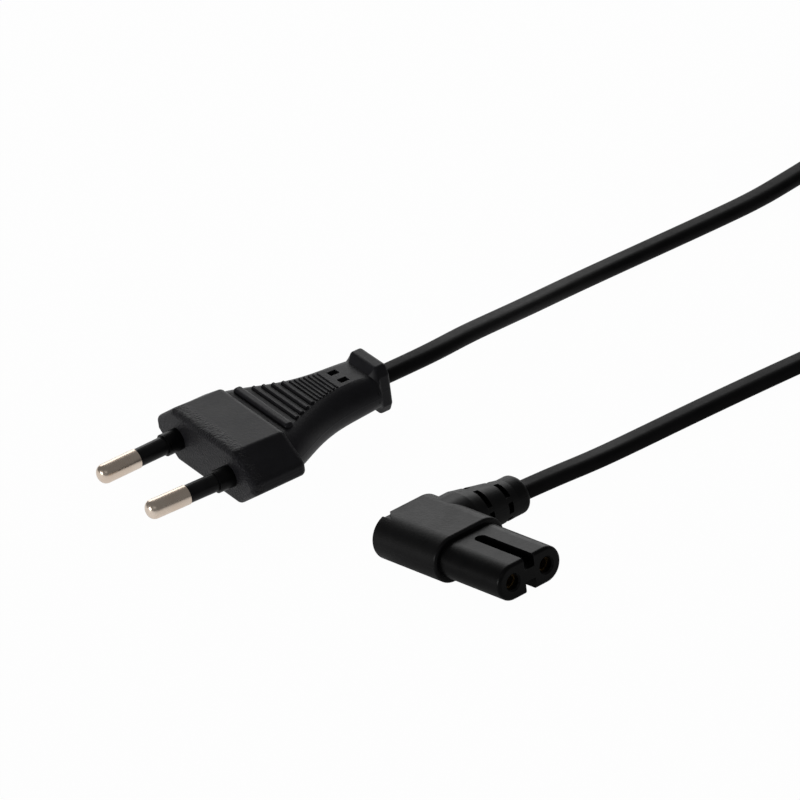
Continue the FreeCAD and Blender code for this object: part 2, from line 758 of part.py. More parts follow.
def add_grip(maker, pose):
    """Grip of the plug: flat above and below, bulging sides, narrow at the neck."""
    body = maker.body("grip_form", pose)
    sketches = [maker.arched(body, "grip_" + station, "YZ_Plane", station, part + "_half_flat",
                             part + "_half_width", part + "_half_height")
                for station, part in GRIP_STATIONS]
    maker.loft(body, "grip_loft", sketches)
    return body


def add_ridge(maker, pose):
    """Raised shoulder across the flats, between the block and the ribs."""
    body = maker.body("ridge_form", pose)
    across, up = "ridge_half_flat", "ridge_half_height"
    outline = maker.polygon(body, "ridge_outline", "YZ_Plane", "ridge_start",
                            [(across, up), ("-" + across, up),
                             ("-" + across, "-" + up), (across, "-" + up)])
    maker.pad(body, "ridge_pad", outline, "ridge_length")
    maker.fillet(body, "ridge_edges_round", "ridge_round", lambda edge: True)
    return body


def add_collar(maker, pose):
    """Flared collar that keeps the fingers on the grip."""
    body = maker.body("collar_form", pose)
    neck = maker.polygon(body, "collar_neck", "YZ_Plane", "neck_station - 0.6",
                         hexagon("neck_half_flat", "neck_half_width",
                                 "neck_half_height / 3", "neck_half_height"))
    rim = maker.polygon(body, "collar_rim", "YZ_Plane", "rim_start",
                        hexagon("rim_half_flat", "rim_half_width", "rim_side_half",
                                "rim_half_height"))
    edge = maker.polygon(body, "rim_outline", "YZ_Plane", "rim_start",
                         hexagon("rim_half_flat", "rim_half_width", "rim_side_half",
                                 "rim_half_height"))
    maker.loft(body, "flare_loft", [neck, rim], ruled=True)
    maker.pad(body, "rim_pad", edge, "rim_length")
    inward = pose.inverse()
    front = maker.size("rim_start") - 1e-6
    return maker.rounded("collar_rounded", body, "collar_round",
                         lambda edge: inward.multVec(edge.CenterOfMass).x > front)


def grip_size_at(maker, station, pairs):
    """Size of the grip between its named stations, drawn straight."""
    places = [(maker.size(place), maker.size(size)) for place, size in pairs]
    for (start, first), (end, second) in zip(places, places[1:]):
        if station <= end:
            return first + (second - first) * (station - start) / (end - start)
    return places[-1][1]


def rib_prism(maker, station, width, height):
    """One rib across the grip's upper and lower flats, rising above them."""
    flats = [(place, part + "_half_flat") for place, part in GRIP_STATIONS]
    heights = [(place, part + "_half_height") for place, part in GRIP_STATIONS]
    half_flat = grip_size_at(maker, station, flats) - maker.size("rib_edge_margin")
    surface = grip_size_at(maker, station, heights)
    low = surface - 0.6
    top = surface + height
    outline = [Vector(station - width / 2, -half_flat, low),
               Vector(station - width / 2, -half_flat, surface + height / 3),
               Vector(station - width / 5, -half_flat, top),
               Vector(station + width / 5, -half_flat, top),
               Vector(station + width / 2, -half_flat, surface + height / 3),
               Vector(station + width / 2, -half_flat, low)]
    upper = Part.Face(Part.makePolygon(outline + outline[:1])).extrude(Vector(0, 2 * half_flat, 0))
    lower = upper.mirror(Vector(0, 0, 0), Vector(0, 0, 1))
    return [upper, lower]


def add_ribs(maker, pose):
    """Coarse ribs near the shoulder and fine ribs towards the windows."""
    prisms = []
    for number in range(int(maker.size("coarse_rib_count"))):
        station = maker.size("coarse_rib_first") + number * maker.size("coarse_rib_pitch")
        prisms += rib_prism(maker, station, maker.size("coarse_rib_width"),
                            maker.size("coarse_rib_height"))
    for number in range(int(maker.size("fine_rib_count"))):
        station = maker.size("fine_rib_first") + number * maker.size("fine_rib_pitch")
        prisms += rib_prism(maker, station, maker.size("fine_rib_width"),
                            maker.size("fine_rib_height"))
    return maker.feature("grip_ribs", Part.makeCompound(prisms), pose)


def add_windows(maker, pose):
    """Small square windows that the mould leaves above and below the cores."""
    windows = []
    station, width = maker.size("window_station"), maker.size("window_width")
    length, depth = maker.size("window_length"), maker.size("window_depth")
    surface = maker.size("waist_half_height")
    for side in (-1, 1):
        middle = side * maker.size("window_spacing") / 2
        for face in (-1, 1):
            low = surface - depth if face > 0 else -surface - 1
            box = maker.doc.addObject("Part::Box", "window_%d_%d" % (side + 1, face + 1))
            bind(box, "Length", named("window_length"))
            bind(box, "Width", named("window_width"))
            bind(box, "Height", named("window_depth + 1"))
            corner = Vector(station - length / 2, middle - width / 2, low)
            box.Placement = pose.multiply(Placement(corner, Rotation()))
            windows.append(box)
    return windows


def pin_seat(maker, pose, side):
    """Place and direction of one pin: Z runs from the face out to the tip."""
    spread = (maker.size("pin_spacing") - maker.size("pin_tip_spacing")) / 2
    lean = math.degrees(math.atan2(spread, maker.size("pin_length")))
    out = Rotation(Vector(0, 1, 0), -90)
    toe_in = Rotation(Vector(0, 0, 1), side * lean)
    place = Placement(Vector(0, side * maker.size("pin_spacing") / 2, 0), toe_in.multiply(out))
    return pose.multiply(place)


def add_pin(maker, seat, name):
    """Solid pin: round tip, bare front, narrow stretch under its sleeve, flange, crimp."""
    body = maker.body(name + "_form", seat)
    back = "-(bridge_inset + bridge_thickness + pin_crimp_length)"
    flange_end = "-(bridge_inset + bridge_thickness + pin_flange_proud)"
    corners = [("0", "pin_length"), ("pin_radius", "pin_length"),
               ("pin_radius", "sleeve_length"), ("pin_neck_radius", "sleeve_length"),
               ("pin_neck_radius", "-(bridge_inset + bridge_thickness - pin_flange_length)"),
               ("pin_flange_radius", "-(bridge_inset + bridge_thickness - pin_flange_length)"),
               ("pin_flange_radius", flange_end), ("pin_crimp_radius", flange_end),
               ("pin_crimp_radius", back), ("0", back)]
    sketch = maker.polygon(body, name + "_profile", "XZ_Plane", "", corners)
    turn = body.newObject("PartDesign::Revolution", name + "_turned")
    turn.Profile = sketch
    turn.ReferenceAxis = (sketch, ["V_Axis"])
    turn.Angle = 360
    maker.doc.recompute()
    tip = maker.size("pin_length") - 1e-6
    maker.fillet(body, name + "_tip", "pin_tip_round", lambda edge: edge.BoundBox.ZMin > tip)
    hole_place = Placement(Vector(0, 0, maker.value(back)), Rotation())
    hole = maker.cylinder(name + "_wire_hole", "strand_radius",
                          "pin_crimp_length - pin_flange_proud", seat.multiply(hole_place))
    return maker.cut(name, body, [hole])


def add_sleeve(maker, seat, name):
    """Insulating sleeve with a slight draft round the inner half of a pin."""
    start = Placement(Vector(0, 0, -maker.value("bridge_inset + bridge_thickness "
                                                "- pin_flange_length")), Rotation())
    length = "sleeve_length + bridge_inset + bridge_thickness - pin_flange_length"
    outer = maker.doc.addObject("Part::Cone", name + "_outer")
    bind(outer, "Radius1", named("sleeve_root_radius"))
    bind(outer, "Radius2", named("sleeve_tip_radius"))
    bind(outer, "Height", named(length))
    outer.Placement = seat.multiply(start)
    inner = maker.cylinder(name + "_bore", "pin_neck_radius", length, seat.multiply(start))
    return maker.cut(name, outer, [inner])


def add_bridge(maker, pose, held):
    """Hard bridge that spaces the pins, with a boss round each at the face."""
    block = maker.doc.addObject("Part::Box", "bridge_block")
    bind(block, "Length", named("bridge_thickness"))
    bind(block, "Width", named("2 * bridge_half_width"))
    bind(block, "Height", named("2 * bridge_half_height"))
    corner = Vector(maker.size("bridge_inset"), -maker.size("bridge_half_width"),
                    -maker.size("bridge_half_height"))
    block.Placement = pose.multiply(Placement(corner, Rotation()))
    bosses = []
    for side in (-1, 1):
        seat = pin_seat(maker, pose, side)
        start = Placement(Vector(0, 0, -maker.size("bridge_inset") - 1), Rotation())
        bosses.append(maker.cylinder("boss_%d" % (side + 1), "boss_radius",
                                     "boss_length + bridge_inset + 1", seat.multiply(start)))
    outside = maker.fuse("bridge_outside", [block] + bosses)
    return maker.cut("pin_bridge", outside, held)


def plug_core_points(maker, side):
    """Corners of one core's route from the cord's end to its pin, in the plug."""
    lane = side * maker.size("core_spacing") / 2
    spread = (maker.size("pin_spacing") - maker.size("pin_tip_spacing")) / 2
    along = Vector(maker.size("pin_length"), side * spread, 0).normalize()
    foot = Vector(0, side * maker.size("pin_spacing") / 2, 0)
    depth = maker.value("bridge_inset + bridge_thickness + pin_crimp_length")
    end = foot.add(Vector(along).multiply(depth))
    second = end.add(Vector(along).multiply(maker.size("plug_core_straight")))
    start = Vector(maker.size("plug_sheath_end"), lane, 0)
    first = start.sub(Vector(maker.size("plug_core_straight"), 0, 0))
    return start, first, second, end, along


def add_plug_core(maker, pose, name, side):
    """Insulation and copper strands of one core inside the plug."""
    start, first, second, end, along = plug_core_points(maker, side)
    gripped = maker.value("pin_crimp_length - pin_flange_proud")
    strand_end = end.sub(Vector(along).multiply(gripped))
    wire = round_wire_along([start, first, second, strand_end], maker.size("strand_radius"))
    cover = round_wire_along([start, first, second, end], maker.size("core_radius"))
    strands = maker.feature(name + "_strands_plug", wire, pose)
    insulation = maker.feature(name + "_core_plug", cover.cut(wire), pose)
    return insulation, strands


def add_plug(maker, pose, cord):
    """All the pieces of the two pin plug."""
    pieces, held = [], []
    for name, side in (("blue", -1), ("brown", 1)):
        seat = pin_seat(maker, pose, side)
        pin = add_pin(maker, seat, "pin_" + name)
        sleeve = add_sleeve(maker, seat, "sleeve_" + name)
        insulation, strands = add_plug_core(maker, pose, name, side)
        pieces += [pin, sleeve, insulation, strands]
        held += [pin, sleeve]
    bridge = add_bridge(maker, pose, held)
    outside = maker.fuse("plug_outside", [add_plug_block(maker, pose), add_grip(maker, pose),
                                          add_ridge(maker, pose), add_collar(maker, pose),
                                          add_ribs(maker, pose)])
    windowed = maker.cut("plug_windowed", outside, add_windows(maker, pose))
    moulding = maker.cut("plug_body", windowed, [bridge, cord] + pieces)
    return [moulding, bridge] + pieces


def stub_in_plug(maker, pose):
    """Straight stretch of the cord held in the plug, and where the free cord starts."""
    start = maker.size("plug_sheath_end")
    length = maker.value("rim_start + rim_length + stub_proud") - start
    width, thickness = maker.size("cord_width"), maker.size("cord_thickness")
    section = stadium_wire(width, thickness, Placement(Vector(start, 0, 0), Rotation()))
    stub = Part.Face(section).extrude(Vector(length, 0, 0))
    stub.Placement = pose
    return stub, pose.multVec(Vector(start + length - maker.size("stub_overlap"), 0, 0))


def coil_sides(maker):
    """Inner and outer radius of the wound bundle."""
    room = maker.value("cord_width / 2 + coil_slack")
    return maker.size("coil_inner_turn") - room, maker.size("coil_outer_turn") + room


def coil_lead_ends(maker):
    """Where the coil's two leads end, on the sides of the plug and of the connector."""
    outer, lead = maker.size("coil_outer_turn"), maker.size("coil_lead")
    low = maker.size("coil_rest_height") + maker.size("coil_row_height") / 2
    high = low + (maker.size("coil_rows") - 1) * maker.size("coil_row_height")
    across, along = maker.size("coil_centre_x"), maker.size("coil_centre_y") - lead
    return Vector(across - outer, along, low), Vector(across + outer, along, high)


def add_cord(maker, plug, connector):
    """The two free stretches of cord, each from inside its end to the coil."""
    width, thickness = maker.size("cord_width"), maker.size("cord_thickness")
    plug_lead, connector_lead = coil_lead_ends(maker)
    stub, exit_place = stub_in_plug(maker, plug)
    points = [exit_place] + [Vector(*place) for place in PLUG_SIDE_ROUTE]
    approach = Vector(0, maker.size("lead_approach"), 0)
    points += [plug_lead.sub(approach), plug_lead]
    tube, path, radii = swept_cord(points, width, thickness)
    report_cord("plug side", tube, path, radii, maker)
    plug_side = maker.feature("cord_plug_side", stub.fuse(tube).removeSplitter())
    start = connector.multVec(Vector(-maker.value("nose_length + boot_axis_setback"),
                                     maker.value(SHEATH_END), maker.value(NOSE_HEIGHT)))
    reach = maker.value("boot_reach + stub_overlap")
    leave = Vector(start.x, connector.Base.y + reach, cord_height_in_boot(maker, reach))
    points = [start, leave] + [Vector(*place) for place in CONNECTOR_SIDE_ROUTE]
    points += [connector_lead.sub(approach), connector_lead]
    tube, path, radii = swept_cord(points, width, thickness)
    report_cord("connector side", tube, path, radii, maker)
    return plug_side, maker.feature("cord_connector_side", tube)


def report_cord(label, tube, path, radii, maker):
    """Print the bends and compare the volume with the section times the length."""
    thickness = maker.size("cord_thickness")
    flat = maker.size("cord_width") - thickness
    section = math.pi * thickness ** 2 / 4 + flat * thickness
    print("%s: length %.1f, radii %s, volume ratio %.4f" % (
        label, path.Length, " ".join("%.0f" % radius for radius in radii),
        tube.Volume / (section * path.Length)))


def add_coil(maker):
    """Outer shape of the wound length: a ring with two straight leads."""
    inside, outside = coil_sides(maker)
    low = maker.size("coil_rest_height")
    height = maker.size("coil_rows") * maker.size("coil_row_height")
    centre = Vector(maker.size("coil_centre_x"), maker.size("coil_centre_y"), low)
    shape = Part.makeCylinder(outside, height, centre).cut(
        Part.makeCylinder(inside, height, centre))
    for end in coil_lead_ends(maker):
        section = stadium_wire(maker.size("cord_width"), maker.size("cord_thickness"),
                               Placement(end, Rotation(Vector(0, 0, 1), 90)))
        shape = shape.fuse(Part.Face(section).extrude(Vector(0, maker.size("coil_lead"), 0)))
    return maker.feature("cord_coil", shape.removeSplitter())


def add_tie(maker):
    """Strap round the bundle at the far side of the coil."""
    inside, outside = coil_sides(maker)
    low = maker.size("coil_rest_height")
    height = maker.size("coil_rows") * maker.size("coil_row_height")
    play, wall, width = (maker.size("tie_play"), maker.size("tie_thickness"),
                         maker.size("tie_width"))
    near = math.sqrt(inside ** 2 - width ** 2 / 4)
    start = maker.size("coil_centre_y") + near - play
    length = outside + 2 * play - near
    across = maker.size("coil_centre_x") - width / 2
    hollow = Part.makeBox(width, length, height + 2 * play, Vector(across, start, low - play))
    strap = Part.makeBox(width, length + 2 * wall, height + 2 * play + 2 * wall,
                         Vector(across, start - wall, low - play - wall))
    return maker.feature("coil_tie", strap.cut(hollow))


def check(doc, nodes):
    """Refuse any failed object and any piece that is not a valid solid."""
    for obj in doc.Objects:
        if "Invalid" in obj.State or "Error" in obj.State:
            raise RuntimeError("%s is %s" % (obj.Name, obj.State))
    for node in nodes:
        shape = node.Shape
        if shape.isNull() or not shape.isValid() or not shape.Solids:
            raise RuntimeError("%s has no valid solid" % node.Label)


def main():
    doc = FreeCAD.newDocument("figure_eight_lead")
    maker = Maker(doc, make_sheet(doc))
    plug, connector = plug_pose(maker), connector_pose(maker)
    cord_plug_side, cord_connector_side = add_cord(maker, plug, connector)
    nodes = add_connector(maker, connector, cord_connector_side)
    nodes += add_plug(maker, plug, cord_plug_side)
    nodes += [cord_plug_side, cord_connector_side, add_coil(maker), add_tie(maker)]
    doc.recompute()
    check(doc, nodes)
    os.makedirs("parts", exist_ok=True)
    for node in nodes:
        node.Shape.exportStep(os.path.join("parts", node.Label + ".step"))
        box = node.Shape.BoundBox
        print("%-24s solids %d volume %9.1f low %.2f" % (
            node.Label, len(node.Shape.Solids), node.Shape.Volume, box.ZMin))


main()
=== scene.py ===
import math

import bmesh
import bpy
from mathutils import Matrix, Vector


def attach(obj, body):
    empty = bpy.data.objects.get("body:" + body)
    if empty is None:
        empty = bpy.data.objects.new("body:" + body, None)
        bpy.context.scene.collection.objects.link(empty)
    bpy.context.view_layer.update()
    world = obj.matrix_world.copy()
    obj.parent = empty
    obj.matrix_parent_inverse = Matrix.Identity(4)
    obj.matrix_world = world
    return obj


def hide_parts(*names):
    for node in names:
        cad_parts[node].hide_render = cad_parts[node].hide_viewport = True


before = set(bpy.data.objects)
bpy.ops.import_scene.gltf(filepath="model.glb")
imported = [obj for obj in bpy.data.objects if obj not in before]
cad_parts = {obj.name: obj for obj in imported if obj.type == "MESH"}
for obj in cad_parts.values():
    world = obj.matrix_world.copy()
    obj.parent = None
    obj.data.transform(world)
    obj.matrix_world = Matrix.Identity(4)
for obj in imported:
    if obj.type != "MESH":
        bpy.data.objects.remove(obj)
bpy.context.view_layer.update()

MM = 0.001

# Flat cord
CORD_WIDTH = 5.0 * MM
CORD_THICKNESS = 3.1 * MM
CORD_DIP = 0.06 * MM
CORD_SIDE_STEPS = 10

# Middle line of the lead, in millimetres, from inside the connector to inside the plug.
CONNECTOR_SIDE = [
    (-10.825, 0.45, 4.8), (-10.825, 8.3, 4.37), (-10.8, 16.65, 3.92), (-10.27, 25.55, 3.75),
    (-10.07, 36.05, 3.0), (-10.87, 48.05, 2.1), (-10.97, 62.05, 1.7), (-10.27, 78.05, 1.6),
    (-8.97, 96.05, 1.6), (-6.77, 116.05, 1.8), (-4.27, 136.05, 3.4), (-2.97, 152.05, 5.4),
    (-1.37, 164.05, 5.8), (-0.87, 175.05, 5.8),
]
PLUG_SIDE = [
    (-73.87, 175.05, 2.3), (-73.37, 164.05, 2.3), (-72.27, 153.05, 2.1), (-71.67, 142.05, 1.7),
    (-72.17, 130.05, 1.6), (-72.87, 113.05, 1.7), (-72.67, 98.05, 2.3), (-70.67, 85.05, 3.8),
    (-67.47, 73.05, 5.9), (-64.27, 62.05, 8.1), (-61.77, 51.05, 9.9), (-60.17, 40.55, 10.6),
    (-61.455, 30.75, 10.06), (-62.565, 23.85, 9.63), (-63.615, 17.25, 9.21),
]

# Put away coil: an upper layer wound inwards, then a crossing, then a lower layer outwards.
# The crossing is a share of a turn, and the heights are those of the cord's middle line.
COIL_CENTRE = (-37.375, 184.05)
COIL_OUTER = 36.5
COIL_TURNS = 6.5
COIL_PITCH = 5.05
COIL_CROSSING = 0.35
COIL_HIGH, COIL_LOW = 5.8, 2.3
COIL_POINTS_A_TURN = 16

# Tie round the bundle: a loop, then two ends twisted together and bent apart at their tips
BUNDLE_MIDDLE = COIL_CENTRE[1] + 28.8
TIE_CENTRE = (COIL_CENTRE[0], BUNDLE_MIDDLE, 4.1)
TIE_HALF_LONG, TIE_HALF_HIGH, TIE_CORNER = 10.7, 3.78, 2.4
TIE_CORNER_STEPS = 6
TIE_FOOT = (COIL_CENTRE[0], BUNDLE_MIDDLE, 8.1)
TIE_WIDTH, TIE_TAIL_WIDTH, TIE_THICKNESS = 5 * MM, 3.6 * MM, 0.5 * MM
TIE_TAIL_LENGTH = 12
TIE_TAIL_STEPS = 32
TIE_TAIL_LIFT, TIE_TAIL_RISE = 2.2, 1.2
TIE_TWISTED_SHARE = 0.75
TIE_HALF_TURNS = 5
TIE_STRAND_OFFSET, TIE_TIP_SPLAY = 0.3, 4.0
TIE_EDGE_ROUND = 0.1 * MM

# Where the plug lies, for patterns that follow it
PLUG_FACE = Vector((-68.505, -13.3, 7.28)) * MM
PLUG_AXES = (Matrix.Rotation(math.radians(80.91), 3, "Z")
             @ Matrix.Rotation(math.radians(-3.57), 3, "Y")
             @ Matrix.Rotation(math.radians(5.07), 3, "X"))
PLUG_TURN = PLUG_AXES.to_euler("XYZ")
CONNECTOR_MIDDLE = (0, 0, 4.8 * MM)
SEAM_HEIGHT = 0.02 * MM

# Camera: a long lens, its directions and the point that it looks at
CAMERA_LENS, CAMERA_SENSOR = 339.5, 36
CAMERA_RIGHT = (0.67310, 0.73133, -0.11000)
CAMERA_BACK = (0.69545, -0.57533, 0.43051)
CAMERA_AIM = (-66.645, 36.08, 0.0)
CAMERA_DISTANCE = 1.5

# Studio: floor and world, then name, place, width, height and brightness of each panel.
# In mirror rays the floor dims from one place along X to the other: painted shade in its
# reflection towards the connector's nose.
FLOOR_WHITE = 0.98
FLOOR_HALF_WIDTH = 6
MIRROR_BRIGHT, MIRROR_PAINTED_SHADE = 0.6, 0.12
MIRROR_PAINTED_SHADE_SPAN = (-0.065, -0.015)
WORLD_FILL = 0.16
STUDIO_MIDDLE = (-0.04, 0.03, 0.0)
PANELS = (
    ("back_panel", (-0.82, 0.68, 0.5), 1.3, 0.8, 1.6),
    ("front_panel", (0.9, -0.75, 0.9), 0.9, 0.6, 0.25),
    ("side_panel", (-0.3, -1.0, 0.2), 0.34, 0.2, 12.0),
)


def coil_points():
    """Turns wound inwards on the upper layer and outwards again on the lower one."""
    points = []
    count = int(COIL_TURNS * COIL_POINTS_A_TURN)
    one_way = (COIL_TURNS - COIL_CROSSING) / 2
    grow = 1 / math.cos(math.pi / COIL_POINTS_A_TURN) ** 0.5
    for step in range(1, count):
        turn = step / COIL_POINTS_A_TURN
        if turn < one_way:
            radius, height = COIL_OUTER - COIL_PITCH * turn, COIL_HIGH
        elif turn > COIL_TURNS - one_way:
            radius = COIL_OUTER - COIL_PITCH * (COIL_TURNS - turn)
            height = COIL_LOW
        else:
            share = (turn - one_way) / COIL_CROSSING
            radius = COIL_OUTER - COIL_PITCH * one_way
            height = COIL_HIGH + (COIL_LOW - COIL_HIGH) * share
        angle = 2 * math.pi * turn
        points.append((COIL_CENTRE[0] + grow * radius * math.cos(angle),
                       COIL_CENTRE[1] + grow * radius * math.sin(angle), height))
    return points


def cord_section():
    """Outline of the flat cord: two round sides joined by nearly flat faces."""
    section = bpy.data.curves.new("cord_section", "CURVE")
    section.dimensions = "2D"
    radius = CORD_THICKNESS / 2
    flat = CORD_WIDTH / 2 - radius
    outline = []
    for side, start in ((1, -90), (-1, 90)):
        for step in range(CORD_SIDE_STEPS + 1):
            angle = math.radians(start + 180 * step / CORD_SIDE_STEPS)
            outline.append((side * flat + radius * math.cos(angle), radius * math.sin(angle)))
        outline.append((0, side * (radius - CORD_DIP)))
    spline = section.splines.new("POLY")
    spline.points.add(len(outline) - 1)
    for point, (across, up) in zip(spline.points, outline):
        point.co = (across, up, 0, 1)
    spline.use_cyclic_u = True
    return bpy.data.objects.new("cord_section", section)


def make_cord():
    """The whole lead as one smooth curve from the connector through the coil to the plug."""
    route = CONNECTOR_SIDE + coil_points() + PLUG_SIDE
    curve = bpy.data.curves.new("cord", "CURVE")
    curve.dimensions = "3D"
    curve.resolution_u = 5
    curve.twist_mode = "Z_UP"
    curve.bevel_mode = "OBJECT"
    curve.bevel_object = cord_section()
    curve.use_fill_caps = True
    spline = curve.splines.new("NURBS")
    spline.points.add(len(route) - 1)
    for point, place in zip(spline.points, route):
        point.co = (place[0] * MM, place[1] * MM, place[2] * MM, 1)
    spline.order_u = 3
    spline.use_endpoint_u = True
    cord = bpy.data.objects.new("cord", curve)
    bpy.context.scene.collection.objects.link(cord)
    return cord


def sweep_strip(build, places, sides, width, thickness, closed=False):
    """Flat strip along places; sides are unit vectors across its width."""
    rings = []
    count = len(places)
    for index, (place, side) in enumerate(zip(places, sides)):
        before = places[index - 1] if index or closed else places[index]
        after = places[(index + 1) % count] if index + 1 < count or closed else places[index]
        normal = (after - before).normalized().cross(side).normalized()
        corners = ((-1, -1), (1, -1), (1, 1), (-1, 1))
        rings.append([build.verts.new(place + side * (across * width / 2)
                                      + normal * (up * thickness / 2))
                      for across, up in corners])
    pairs = list(zip(rings, rings[1:]))
    if closed:
        pairs.append((rings[-1], rings[0]))
    else:
        build.faces.new(rings[0])
        build.faces.new(rings[-1])
    for ring, following in pairs:
        for edge in range(4):
            build.faces.new((ring[edge], ring[(edge + 1) % 4],
                             following[(edge + 1) % 4], following[edge]))


def tie_loop():
    """Round cornered loop of the tie round the bundle, in the YZ plane."""
    centre, corner = Vector(TIE_CENTRE), TIE_CORNER
    places = []
    for quarter in range(4):
        along = TIE_HALF_LONG - corner if quarter in (0, 3) else corner - TIE_HALF_LONG
        up = TIE_HALF_HIGH - corner if quarter in (0, 1) else corner - TIE_HALF_HIGH
        for step in range(TIE_CORNER_STEPS + 1):
            angle = math.pi / 2 * (quarter + step / TIE_CORNER_STEPS)
            places.append((centre + Vector((0, along + corner * math.cos(angle),
                                            up + corner * math.sin(angle)))) * MM)
    return places


def tie_tail(side_sign):
    """One of the two ends: twisted round the other, then bent away from it."""
    foot = Vector(TIE_FOOT)
    places, sides = [], []
    for step in range(TIE_TAIL_STEPS + 1):
        share = step / TIE_TAIL_STEPS
        angle = TIE_HALF_TURNS * math.pi * min(share / TIE_TWISTED_SHARE, 1)
        spread = TIE_STRAND_OFFSET + TIE_TIP_SPLAY * max(0, share - TIE_TWISTED_SHARE)
        across = Vector((math.cos(angle), 0, math.sin(angle)))
        off = Vector((-math.sin(angle), 0, math.cos(angle))) * side_sign * spread
        lift = TIE_TAIL_LIFT + TIE_TAIL_RISE * math.sin(math.pi * share / 2)
        places.append((foot + Vector((0, -TIE_TAIL_LENGTH * share, lift)) + off) * MM)
        sides.append(across)
    return places, sides


def make_tie():
    """Twist tie that holds the put away coil."""
    mesh = bpy.data.meshes.new("tie")
    build = bmesh.new()
    loop = tie_loop()
    across = [Vector((1, 0, 0))] * len(loop)
    sweep_strip(build, loop, across, TIE_WIDTH, TIE_THICKNESS, closed=True)
    for sign in (-1, 1):
        places, sides = tie_tail(sign)
        sweep_strip(build, places, sides, TIE_TAIL_WIDTH, TIE_THICKNESS)
    bmesh.ops.recalc_face_normals(build, faces=build.faces)
    bmesh.ops.bevel(build, geom=build.edges[:], offset=TIE_EDGE_ROUND, offset_type="OFFSET",
                    segments=2, profile=0.5, affect="EDGES", material=-1)
    build.to_mesh(mesh)
    build.free()
    tie = bpy.data.objects.new("tie", mesh)
    bpy.context.scene.collection.objects.link(tie)
    for polygon in mesh.polygons:
        polygon.use_smooth = True
    mesh.materials.append(tie_material("tie"))
    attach(tie, "root")
    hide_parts("coil_tie")
    return tie


def set_input(shader, name, value):
    shader.inputs[name].default_value = value


def new_material(name, colour, roughness, specular=0.5):
    """A material with its main shader ready; the maker of each finish adds to it."""
    material = bpy.data.materials.new(name)
    material.use_nodes = True
    shader = material.node_tree.nodes["Principled BSDF"]
    set_input(shader, "Base Color", (*colour, 1))
    set_input(shader, "Roughness", roughness)
    set_input(shader, "Specular IOR Level", specular)
    return material, shader


def new_group(name, inputs, outputs):
    """An empty node group with its sockets."""
    group = bpy.data.node_groups.new(name, "ShaderNodeTree")
    for label, kind in inputs:
        group.interface.new_socket(label, in_out="INPUT", socket_type="NodeSocket" + kind)
    for label, kind in outputs:
        group.interface.new_socket(label, in_out="OUTPUT", socket_type="NodeSocket" + kind)
    given, made = group.nodes.new("NodeGroupInput"), group.nodes.new("NodeGroupOutput")
    return group, given, made


def ranged(nodes, from_min, from_max, to_min=0.0, to_max=1.0, smooth=False):
    """A node that carries one range of values over to another."""
    node = nodes.new("ShaderNodeMapRange")
    if smooth:
        node.interpolation_type = "SMOOTHSTEP"
    node.inputs["From Min"].default_value = from_min
    node.inputs["From Max"].default_value = from_max
    node.inputs["To Min"].default_value = to_min
    node.inputs["To Max"].default_value = to_max
    return node


def combined(nodes, links, operation, first, second):
    """Join two values, either of which may be a plain number."""
    node = nodes.new("ShaderNodeMath")
    node.operation = operation
    for socket, value in zip(node.inputs, (first, second)):
        if isinstance(value, (int, float)):
            socket.default_value = value
        else:
            links.new(value, socket)
    return node.outputs[0]


def noise(nodes, links, vector, scale, detail):
    node = nodes.new("ShaderNodeTexNoise")
    node.inputs["Detail"].default_value = detail
    links.new(vector, node.inputs["Vector"])
    if isinstance(scale, (int, float)):
        node.inputs["Scale"].default_value = scale
    else:
        links.new(scale, node.inputs["Scale"])
    return node.outputs["Fac"]


def make_grain_group():
    """Moulded grain in two sizes, with slow mottling of colour and gloss."""
    group, given, made = new_group(
        "moulded_grain",
        [("Grain Scale", "Float"), ("Mottle Scale", "Float"), ("Dark", "Color"),
         ("Light", "Color"), ("Smooth", "Float"), ("Rough", "Float")],
        [("Color", "Color"), ("Roughness", "Float"), ("Height", "Float")])
    nodes, links = group.nodes, group.links
    place = nodes.new("ShaderNodeTexCoord").outputs["Object"]
    fine = noise(nodes, links, place, given.outputs["Grain Scale"], 2)
    coarse = noise(nodes, links, place,
                   combined(nodes, links, "MULTIPLY", given.outputs["Grain Scale"], 0.35), 2)
    mottle = noise(nodes, links, place, given.outputs["Mottle Scale"], 4)
    tint = nodes.new("ShaderNodeMix")
    tint.data_type = "RGBA"
    spread = ranged(nodes, 0.3, 0.7)
    links.new(mottle, spread.inputs["Value"])
    links.new(spread.outputs["Result"], tint.inputs["Factor"])
    links.new(given.outputs["Dark"], tint.inputs["A"])
    links.new(given.outputs["Light"], tint.inputs["B"])
    links.new(tint.outputs["Result"], made.inputs["Color"])
    gloss = ranged(nodes, 0.3, 0.7)
    links.new(combined(nodes, links, "ADD", combined(nodes, links, "MULTIPLY", mottle, 0.6),
                       combined(nodes, links, "MULTIPLY", coarse, 0.4)), gloss.inputs["Value"])
    links.new(given.outputs["Smooth"], gloss.inputs["To Min"])
    links.new(given.outputs["Rough"], gloss.inputs["To Max"])
    links.new(gloss.outputs["Result"], made.inputs["Roughness"])
    links.new(combined(nodes, links, "ADD", fine, coarse), made.inputs["Height"])
    return group


